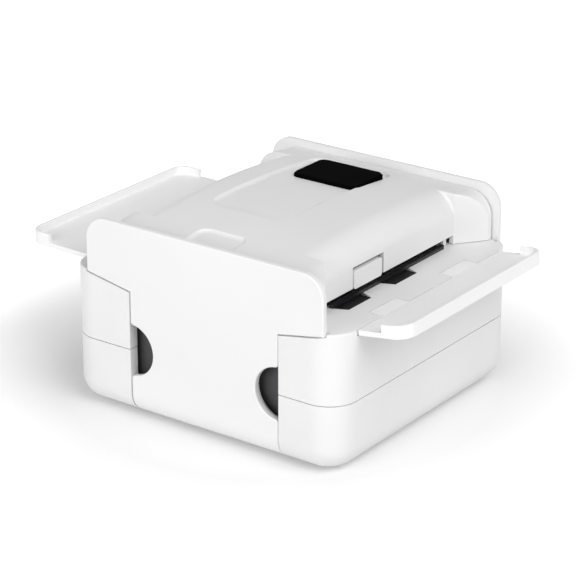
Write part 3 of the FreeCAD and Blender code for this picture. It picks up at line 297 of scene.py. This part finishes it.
# Control board: a glass-epoxy board under a green solder mask, on four standoffs behind the motor.
# Copper tracks show through the mask as a paler network with a slight step.
# The packages on it stand on rows of small bent tinned legs.
def solder_mask(name, mask, track, width_mm, height_mm):
    """Green lacquer over copper tracks that run square to each other."""
    mat = bpy.data.materials.new(name)
    mat.use_nodes = True
    nodes, links = mat.node_tree.nodes, mat.node_tree.links
    shader = nodes["Principled BSDF"]
    coord = nodes.new("ShaderNodeTexCoord")
    tracks = nodes.new("ShaderNodeTexBrick")
    tracks.inputs["Color1"].default_value = (*mask, 1)
    tracks.inputs["Color2"].default_value = (*[0.8 * c for c in mask], 1)
    tracks.inputs["Mortar"].default_value = (*track, 1)
    tracks.inputs["Scale"].default_value = 1000.0
    tracks.inputs["Brick Width"].default_value = width_mm
    tracks.inputs["Row Height"].default_value = height_mm
    tracks.inputs["Mortar Size"].default_value = 0.16
    gloss = nodes.new("ShaderNodeMapRange")
    gloss.inputs["To Min"].default_value = 0.24
    gloss.inputs["To Max"].default_value = 0.36
    bump = nodes.new("ShaderNodeBump")
    bump.inputs["Strength"].default_value = 0.5
    bump.inputs["Distance"].default_value = 0.03 * mm
    links.new(coord.outputs["Object"], tracks.inputs["Vector"])
    links.new(tracks.outputs["Color"], shader.inputs["Base Color"])
    links.new(tracks.outputs["Fac"], gloss.inputs["Value"])
    links.new(gloss.outputs["Result"], shader.inputs["Roughness"])
    links.new(tracks.outputs["Fac"], bump.inputs["Height"])
    links.new(bump.outputs["Normal"], shader.inputs["Normal"])
    return mat


mask_green = solder_mask("mask_green", (0.012, 0.105, 0.045), (0.035, 0.20, 0.085), 4.4, 1.7)
dress(mask_green, "control_board", "button_board")


def add_block(name, low, high, turn=(0.0, 0.0, 0.0)):
    """A block between two corners, turned about its middle, with its place in its mesh."""
    bpy.ops.object.select_all(action="DESELECT")
    bpy.ops.mesh.primitive_cube_add(size=1.0)
    piece = bpy.context.object
    piece.name = name
    piece.scale = [high[i] - low[i] for i in range(3)]
    piece.rotation_euler = turn
    piece.location = [(high[i] + low[i]) / 2 for i in range(3)]
    bpy.ops.object.transform_apply(location=True, rotation=True, scale=True)
    return piece


def apply_modifier(piece, kind, **settings):
    """Add a modifier with its settings to a piece and apply it."""
    if bpy.context.mode != "OBJECT":
        bpy.ops.object.mode_set(mode="OBJECT")
    modifier = piece.modifiers.new(kind.lower(), kind)
    for key, value in settings.items():
        setattr(modifier, key, value)
    bpy.ops.object.modifier_apply(modifier=modifier.name)


def repeat(piece, count, step):
    """Turn a piece into a row of copies of itself."""
    apply_modifier(piece, "ARRAY", count=count, use_relative_offset=False, use_constant_offset=True,
                   constant_offset_displace=step)


tinned_lead = drawn_metal("tinned_lead", (0.72, 0.72, 0.71), (0.60, 0.60, 0.59), 0.3, "Y", 0.1)
board_thickness = 1.6 * mm
board_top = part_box("control_board")[0][2] + board_thickness
case_middle = sum(corner[1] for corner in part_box("lower_shell")) / 2
leg_width = 0.42 * mm
leg_thick = 0.16 * mm
leg_drop = 0.55 * mm
leg_foot = 0.7 * mm
leg_top = board_top + leg_drop + leg_thick
for chip, chip_x, chip_y, chip_half, leg_pitch, leg_count in (
        ("processor", -14.0 * mm, case_middle + 46.0 * mm, 6.0 * mm, 0.8 * mm, 13),
        ("motor_driver", -39.0 * mm, case_middle + 43.0 * mm, 5.0 * mm, 0.9 * mm, 9)):
    row_start = chip_x - leg_pitch * (leg_count - 1) / 2
    for row, way in (("front", -1), ("rear", 1)):
        ends = sorted((chip_y + way * (chip_half - leg_thick), chip_y + way * (chip_half + leg_foot / 2)))
        legs = add_block(f"{chip}_{row}_legs", (row_start - leg_width / 2, ends[0], leg_top - leg_thick),
                         (row_start + leg_width / 2, ends[1], leg_top))
        pick_faces(legs, lambda c, n: n.y * way > 0.9)
        bpy.ops.mesh.extrude_region_move(TRANSFORM_OT_translate={"value": (0, way * leg_thick, -leg_drop)})
        bpy.ops.mesh.extrude_region_move(TRANSFORM_OT_translate={"value": (0, way * leg_foot, 0)})
        repeat(legs, leg_count, (leg_pitch, 0, 0))
        fit(legs, tinned_lead, "base", 30.0)


# Sockets in the rear wall: a round power inlet in black plastic and a square data port in a plated shell.
# A sprung sleeve lines the inlet round its centre pin, and four gilt strips lie on the port's tongue.
# Both are soldered to the control board and look out through holes in the case.
socket_black = moulded_plastic("socket_black", (0.03, 0.03, 0.031), (0.02, 0.02, 0.021), 0.5, 0.5, 0.02, 10.0)
dress(socket_black, "power_inlet", "switch_housing")
dress(drawn_metal("plated_shell", (0.70, 0.70, 0.70), (0.58, 0.58, 0.58), 0.3, "Y", 0.25), "data_port")

inlet_low, inlet_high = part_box("power_inlet")
sleeve_radius = 3.1 * mm
sleeve_length = 7.0 * mm
sleeve_inset = 1.0 * mm
sleeve_wall = 0.3 * mm
sleeve_edge = 0.1 * mm
sleeve_end = inlet_high[1] - sleeve_inset
sleeve_place = ((inlet_low[0] + inlet_high[0]) / 2, sleeve_end - sleeve_length / 2,
                (inlet_low[2] + inlet_high[2]) / 2)
sleeve = add_drum("inlet_sleeve", sleeve_radius, sleeve_length, sleeve_place, 48, (math.pi / 2, 0, 0))
pick_faces(sleeve, lambda c, n: abs(n.y) > 0.9)
bpy.ops.mesh.delete(type="ONLY_FACE")
apply_modifier(sleeve, "SOLIDIFY", thickness=sleeve_wall, offset=-1.0)
pick_edges(sleeve, lambda p: p.y > sleeve_end - sleeve_edge)
bpy.ops.mesh.bevel(offset=sleeve_edge, segments=2)
fit(sleeve, tinned_lead, "base")

gilt = drawn_metal("gilt", (0.78, 0.60, 0.27), (0.66, 0.49, 0.20), 0.26, "Y", 0.1)
port_low, port_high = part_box("data_port")
tongue_half = 1.2 * mm
tongue_top = (port_low[2] + port_high[2]) / 2 + tongue_half
strip_width = 0.7 * mm
strip_pitch = 1.45 * mm
strip_length = 7.0 * mm
strip_rise = 0.12 * mm
strip_edge = 0.08 * mm
strip_inset = 3.0 * mm
strip_count = 4
strip_x = (port_low[0] + port_high[0]) / 2 - strip_pitch * (strip_count - 1) / 2
strip_end = port_high[1] - strip_inset
strips = add_block("port_contacts",
                   (strip_x - strip_width / 2, strip_end - strip_length, tongue_top - strip_rise),
                   (strip_x + strip_width / 2, strip_end, tongue_top + strip_rise))
pick_edges(strips, lambda p: p.z > tongue_top)
bpy.ops.mesh.bevel(offset=strip_edge, segments=2)
repeat(strips, strip_count, (strip_pitch, 0, 0))
fit(strips, gilt, "base", 30.0)


# Power switch: a black rocker in a snap-in bezel, at the right of the rear wall.
# Its two halves carry a raised ring and a raised bar, the plain marks for off and on.
# The marks are moulded with the rocker and filled with white paint.
rocker_black = moulded_plastic("rocker_black", (0.026, 0.026, 0.027), (0.017, 0.017, 0.018), 0.4, 0.4, 0.01,
                               8.0)
dress(rocker_black, "power_rocker")
mark_white = moulded_plastic("mark_white", (0.78, 0.78, 0.77), (0.72, 0.72, 0.71), 0.5, 0.4, 0.01, 4.0)
rocker_low, rocker_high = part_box("power_rocker")
rocker_x = 45.0 * mm
rocker_z = (rocker_low[2] + rocker_high[2]) / 2
rocker_tilt = math.radians(12.0)
half_width = (rocker_high[0] - rocker_low[0]) / 2
flat_face = rocker_high[1] - half_width * math.sin(rocker_tilt)
mark_rise = 0.15 * mm
mark_stroke = 0.7 * mm
mark_edge = 0.08 * mm
ring_radius = 2.4 * mm
ring = add_drum("off_ring", ring_radius, 2 * mark_rise, (rocker_x - half_width / 2, flat_face, rocker_z), 48,
                (math.pi / 2, 0, 0))
pick_faces(ring, lambda c, n: abs(n.y) > 0.9)
bpy.ops.mesh.inset(thickness=mark_stroke, use_individual=True)
bpy.ops.mesh.bridge_edge_loops()
pick_faces(ring, lambda c, n: True)
bpy.ops.mesh.normals_make_consistent(inside=False)
fit(ring, mark_white, "power_rocker", 30.0)

bar_half = Vector((mark_stroke / 2, mark_rise, ring_radius))
bar_place = Vector((rocker_x + half_width / 2 * math.cos(rocker_tilt),
                    flat_face + half_width / 2 * math.sin(rocker_tilt), rocker_z))
outward = Vector((-math.sin(rocker_tilt), math.cos(rocker_tilt), 0))
bar = add_block("on_bar", bar_place - bar_half, bar_place + bar_half, (0, 0, rocker_tilt))
pick_edges(bar, lambda p: (p - bar_place).dot(outward) > 0)
bpy.ops.mesh.bevel(offset=mark_edge, segments=2)
fit(bar, mark_white, "power_rocker", 30.0)


# Label sensor: a smoked plastic block sunk flush into the deck, with two small domed lenses.
# One lens sends infrared light through the gap between labels and the other looks for it.
# The plastic is tinted so dark that it reads as black.
sensor_smoke = moulded_plastic("sensor_smoke", (0.02, 0.018, 0.02), (0.012, 0.011, 0.013), 0.22, 0.5, 0.004,
                               8.0)
dress(sensor_smoke, "gap_sensor")
lens_red = moulded_plastic("lens_red", (0.10, 0.012, 0.012), (0.06, 0.006, 0.006), 0.1, 0.6, 0.002, 3.0)
sensor_low, sensor_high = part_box("gap_sensor")
sensor_middle = (sensor_low[1] + sensor_high[1]) / 2
sensor_top = sensor_high[2]
lens_half = 1.8 * mm
lens_rise = 0.25 * mm
lens_ball = (lens_half ** 2 + lens_rise ** 2) / (2 * lens_rise)
lens_spread = 4.5 * mm
for side, lens_x in (("left", -lens_spread), ("right", lens_spread)):
    bpy.ops.object.select_all(action="DESELECT")
    bpy.ops.mesh.primitive_uv_sphere_add(segments=48, ring_count=96, radius=lens_ball,
                                         location=(lens_x, sensor_middle, sensor_top + lens_rise - lens_ball))
    lens = bpy.context.object
    lens.name = f"{side}_sensor_lens"
    bpy.ops.object.transform_apply(location=True, rotation=True, scale=True)
    pick_faces(lens, lambda c, n: True)
    bpy.ops.mesh.bisect(plane_co=(lens_x, sensor_middle, sensor_top), plane_no=(0, 0, 1), clear_inner=True,
                        use_fill=True)
    fit(lens, lens_red, "base", 40.0)


# Label guides: two grey fences that slide across the deck on their shoes and keep the labels in the middle.
# A rack under each meshes with one pinion, so that they close and open together.
# A row of small ribs along the top of each fence gives a finger something to push.
guide_grey = moulded_plastic("guide_grey", (0.34, 0.345, 0.355), (0.28, 0.285, 0.295), 0.45, 0.5, 0.01, 16.0)
dress(guide_grey, "left_label_guide", "right_label_guide")
grip_width = 3.0 * mm
grip_thick = 1.0 * mm
grip_rise = 0.7 * mm
grip_edge = 0.35 * mm
grip_pitch = 2.4 * mm
grip_count = 9
for side in ("left", "right"):
    guide_low, guide_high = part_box(f"{side}_label_guide")
    outer = guide_low[0] if side == "left" else guide_high[0] - grip_width
    first = (guide_low[1] + guide_high[1] - grip_pitch * (grip_count - 1)) / 2
    grip = add_block(f"{side}_guide_grip", (outer, first - grip_thick / 2, guide_high[2] - grip_rise),
                     (outer + grip_width, first + grip_thick / 2, guide_high[2] + grip_rise))
    pick_edges(grip, lambda p: p.z > guide_high[2])
    bpy.ops.mesh.bevel(offset=grip_edge, segments=3)
    repeat(grip, grip_count, (0, grip_pitch, 0))
    fit(grip, guide_grey, f"{side}_guide")


# Outlet: a dark serrated tear bar on the deck, with two black wedges sunk into the deck in front of it.
# The wedges lift the label's edge and have a coarse grain; the bar is blackened steel.
# Both are fixed from below through the deck.
wedge_black = moulded_plastic("wedge_black", (0.014, 0.014, 0.015), (0.007, 0.007, 0.008), 0.6, 0.9, 0.05,
                              15.0)
wedge_black.node_tree.nodes["Principled BSDF"].inputs["Specular IOR Level"].default_value = 0.2
dress(wedge_black, "outlet_inserts")
dress(drawn_metal("tear_steel", (0.09, 0.09, 0.095), (0.05, 0.05, 0.054), 0.42, "X"), "tear_bar")


# Print head: a ceramic plate with a glazed heater line across its underside, where it meets the roller.
# A sealed strip beside the line covers the driver chips.
# A finned aluminium sink takes the heat away, and leaf springs under a steel carrier press both down.
head_ceramic = moulded_plastic("head_ceramic", (0.70, 0.69, 0.66), (0.64, 0.63, 0.60), 0.3, 0.3, 0.004, 9.0)
dress(head_ceramic, "print_head")
dress(drawn_metal("sink_aluminium", (0.74, 0.75, 0.76), (0.62, 0.63, 0.64), 0.36, "X", 0.2), "heat_sink")
spring_steel = drawn_metal("spring_steel", (0.46, 0.47, 0.50), (0.34, 0.35, 0.38), 0.26, "X", 0.15)
dress(spring_steel, "head_springs", "latch_spring")
heater_glaze = moulded_plastic("heater_glaze", (0.10, 0.075, 0.055), (0.06, 0.045, 0.035), 0.16, 0.4, 0.002,
                               6.0)
head_low, head_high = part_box("print_head")
head_middle = (head_low[1] + head_high[1]) / 2
head_sole = head_low[2]
line_radius = 0.45 * mm
line_rise = 0.14 * mm
line_margin = 3.0 * mm
line_length = head_high[0] - head_low[0] - 2 * line_margin
line = add_drum("heater_line", line_radius, line_length,
                (0, head_middle, head_sole + line_radius - line_rise), 32,
                (0, math.pi / 2, 0))
pick_faces(line, lambda c, n: True)
bpy.ops.mesh.bisect(plane_co=(0, head_middle, head_sole + line_rise), plane_no=(0, 0, 1), clear_outer=True,
                    use_fill=True)
fit(line, heater_glaze, "head", 40.0)

seal_resin = moulded_plastic("seal_resin", (0.022, 0.021, 0.02), (0.012, 0.012, 0.012), 0.3, 1.6, 0.02, 5.0)
seal_width = 2.4 * mm
seal_rise = 0.4 * mm
seal_edge = 0.36 * mm
seal_inset = 2.6 * mm
seal_y = head_high[1] - seal_inset
seal = add_block("driver_seal", (-line_length / 2, seal_y - seal_width / 2, head_sole - seal_rise),
                 (line_length / 2, seal_y + seal_width / 2, head_sole + seal_rise))
pick_edges(seal, lambda p: p.z < head_sole)
bpy.ops.mesh.bevel(offset=seal_edge, segments=4)
fit(seal, seal_resin, "head", 40.0)


# Side panels: two T-shaped white covers that snap on with four posts each.
# They are moulded in the same plastic as the case, in a smoother, slightly brighter finish.
panel_white = moulded_plastic("panel_white", (0.87, 0.868, 0.87), (0.845, 0.842, 0.843), 0.4, 0.5, 0.008,
                              90.0)
dress(panel_white, "left_side_panel", "right_side_panel")


# Top cover: one crowned white moulding with a shallow pocket for the button, hinged at its rear.
# Its outside is the satin of the case, and thin ribs inside stiffen the crown.
# It turns on two steel pins, and a latch bar behind the release tab holds it down in front.
cover_white = moulded_plastic("cover_white", (0.85, 0.846, 0.848), (0.815, 0.812, 0.814), 0.42, 0.55, 0.010,
                              70.0)
dress(cover_white, "top_cover", "release_tab")
dress(pin_steel, "cover_hinge_pins")
cover_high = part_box("top_cover")[1]
cover_wall = 2.5 * mm
crown_drop = 6.0 * mm
inner_half = cover_high[0] - cover_wall
inner_radius = (inner_half ** 2 + crown_drop ** 2) / (2 * crown_drop)
inner_top = cover_high[2] - cover_wall
rib_thick = 1.4 * mm
rib_depth = 4.0 * mm
rib_sink = 0.3 * mm
rib_edge = 0.5 * mm
rib_weld = 0.01 * mm
rib_ends = (case_middle - 31.0 * mm, case_middle + 35.0 * mm)
rib_half_angle = math.asin((inner_half + rib_sink) / inner_radius)
rib_middle_radius = inner_radius + (rib_sink - rib_depth) / 2
for count, rib_y in enumerate(rib_ends, 1):
    crown_centre = Vector((0, rib_y, inner_top - inner_radius))
    bpy.ops.object.select_all(action="DESELECT")
    bpy.ops.mesh.primitive_plane_add(size=1.0)
    cross_rib = bpy.context.object
    cross_rib.name = f"cover_cross_rib_{count}"
    cross_rib.scale = (rib_depth + rib_sink, rib_thick, 1.0)
    cross_rib.rotation_euler = (0, math.pi / 2 - rib_half_angle, 0)
    cross_rib.location = crown_centre + rib_middle_radius * Vector((-math.sin(rib_half_angle), 0,
                                                                    math.cos(rib_half_angle)))
    bpy.ops.object.transform_apply(location=True, rotation=True, scale=True)
    pick_faces(cross_rib, lambda c, n: True)
    bpy.ops.mesh.spin(steps=40, angle=2 * rib_half_angle, center=crown_centre, axis=(0, -1, 0))
    pick_faces(cross_rib, lambda c, n: True)
    bpy.ops.mesh.remove_doubles(threshold=rib_weld)
    bpy.ops.mesh.normals_make_consistent(inside=False)
    fit(cross_rib, cover_white, "cover", 30.0)
for name, rib_x in (("left", -45.0 * mm), ("middle", 0.0)):
    under = inner_top - inner_radius + math.sqrt(inner_radius ** 2 - rib_x ** 2)
    long_rib = add_block(f"cover_{name}_rib", (rib_x - rib_thick / 2, rib_ends[0], under - rib_depth),
                         (rib_x + rib_thick / 2, rib_ends[1], under + rib_sink))
    pick_edges(long_rib, lambda p: p.z < under - rib_depth / 2)
    bpy.ops.mesh.bevel(offset=rib_edge, segments=3)
    fit(long_rib, cover_white, "cover", 30.0)


# Feed button: a black pad in the pocket of the cover, with a chamfered rim.
# It is satin black plastic that rests on a switch of the small board below, and springs back.
pad_black = moulded_plastic("pad_black", (0.003, 0.003, 0.003), (0.0018, 0.0018, 0.002), 0.42, 0.35, 0.012,
                            20.0)
pad_black.node_tree.nodes["Principled BSDF"].inputs["Specular IOR Level"].default_value = 0.001
dress(pad_black, "feed_button")


# Flaps: white trays with a raised lip, one in front of the outlet and one behind the inlet.
# They swing on thin steel pins through two tabs each, and fold up against the cover.
# The flaps' white is painted brighter than the case white: a painted highlight that stands in for the extra
# light on their upward faces.
flap_white_painted_light = moulded_plastic("flap_white_painted_light", (0.93, 0.927, 0.927), (0.90, 0.897, 0.898), 0.45, 0.55, 0.010,
                             50.0)
dress(flap_white_painted_light, "front_flap", "rear_flap")
dress(pin_steel, "front_flap_pins", "rear_flap_pins")


# Camera and light: the view of the photograph, with a low soft box on the left and a high one in front.
# The floor and the surroundings are white, and the floor keeps the soft shadow under the case. The floor's
# own glow is also painted dimmer close to the case and rises to full white about 30 cm from its middle, a
# painted shade round the base.
back = (-0.7481, -0.5455, 0.3778)
up = (0.3053, 0.2226, 0.9259)
right = (0.5892, -0.8080, 0.0)
camera_data = bpy.data.cameras.new("camera")
focal_pixels = 2443.0
photo_pixels = 580.0
camera_data.sensor_width = 36.0
camera_data.lens = camera_data.sensor_width * focal_pixels / photo_pixels
camera_data.clip_end = 20.0
camera = bpy.data.objects.new("camera", camera_data)
spot = (-0.98966, case_middle - 0.71922, 0.55651)
camera.matrix_world = Matrix([[right[i], up[i], back[i], spot[i]] for i in range(3)] + [[0, 0, 0, 1]])
scene.collection.objects.link(camera)
scene.camera = camera


def soft_box(name, power, size, spot, target):
    """A large area lamp aimed at a point on the object."""
    lamp = bpy.data.lights.new(name, "AREA")
    lamp.energy = power
    lamp.shape = "RECTANGLE"
    lamp.size, lamp.size_y = size
    holder = bpy.data.objects.new(name, lamp)
    aim = Vector(target) - Vector(spot)
    holder.location = spot
    holder.rotation_euler = aim.to_track_quat("-Z", "Y").to_euler()
    scene.collection.objects.link(holder)


middle_of_part = (0, 0, 0.06)
soft_box("left_softbox", 18.6, (1.5, 0.9), (-1.95, 0.1, 0.7), middle_of_part)
soft_box("front_softbox", 79.0, (2.8, 2.4), (-0.7, -2.6, 2.5), middle_of_part)


def seen_directly(nodes, links):
    """A socket that is 1 for rays from the camera and in sharp reflections, and 0 for diffuse light."""
    rays = nodes.new("ShaderNodeLightPath")
    sharp = nodes.new("ShaderNodeMath")
    sharp.operation = "MAXIMUM"
    either = nodes.new("ShaderNodeMath")
    either.operation = "MAXIMUM"
    links.new(rays.outputs["Is Glossy Ray"], sharp.inputs[0])
    links.new(rays.outputs["Is Transmission Ray"], sharp.inputs[1])
    links.new(rays.outputs["Is Camera Ray"], either.inputs[0])
    links.new(sharp.outputs["Value"], either.inputs[1])
    return either.outputs["Value"]


bpy.ops.object.select_all(action="DESELECT")
bpy.ops.mesh.primitive_plane_add(size=8.0, location=(0, 0, 0))
floor = bpy.context.object
floor.name = "studio_floor"
floor_mat = bpy.data.materials.new("floor_white")
floor_mat.use_nodes = True
nodes, links = floor_mat.node_tree.nodes, floor_mat.node_tree.links
sheet = nodes["Principled BSDF"]
sheet.inputs["Base Color"].default_value = (0.86, 0.86, 0.86, 1)
sheet.inputs["Roughness"].default_value = 0.9
glow = nodes.new("ShaderNodeEmission")
spread = nodes.new("ShaderNodeTexCoord")
distance = nodes.new("ShaderNodeVectorMath")
distance.operation = "LENGTH"
# The glow is painted dim near the case and full further out: a painted shade round the base on top of the
# rendered shadow.
painted_shade_falloff = nodes.new("ShaderNodeMapRange")
painted_shade_falloff.inputs["From Min"].default_value = 0.12
painted_shade_falloff.inputs["From Max"].default_value = 0.3
painted_shade_falloff.inputs["To Min"].default_value = 0.12
painted_shade_falloff.inputs["To Max"].default_value = 1.0
seen = nodes.new("ShaderNodeMixShader")
dark = nodes.new("ShaderNodeEmission")
dark.inputs["Strength"].default_value = 0.0
both = nodes.new("ShaderNodeAddShader")
links.new(spread.outputs["Object"], distance.inputs[0])
links.new(distance.outputs["Value"], painted_shade_falloff.inputs["Value"])
links.new(painted_shade_falloff.outputs["Result"], glow.inputs["Strength"])
links.new(seen_directly(nodes, links), seen.inputs["Fac"])
links.new(dark.outputs["Emission"], seen.inputs[1])
links.new(glow.outputs["Emission"], seen.inputs[2])
links.new(sheet.outputs["BSDF"], both.inputs[0])
links.new(seen.outputs["Shader"], both.inputs[1])
links.new(both.outputs["Shader"], nodes["Material Output"].inputs["Surface"])
floor.data.materials.append(floor_mat)

world = bpy.data.worlds.new("studio")
world.use_nodes = True
scene.world = world
nodes, links = world.node_tree.nodes, world.node_tree.links
sky = nodes["Background"]
sky.inputs["Color"].default_value = (1, 1, 1, 1)
sky.inputs["Strength"].default_value = 0.3
white = nodes.new("ShaderNodeBackground")
white.inputs["Color"].default_value = (1, 1, 1, 1)
white.inputs["Strength"].default_value = 1.0
pick = nodes.new("ShaderNodeMixShader")
links.new(seen_directly(nodes, links), pick.inputs["Fac"])
links.new(sky.outputs["Background"], pick.inputs[1])
links.new(white.outputs["Background"], pick.inputs[2])
links.new(pick.outputs["Shader"], nodes["World Output"].inputs["Surface"])
scene.view_settings.view_transform = "Standard"
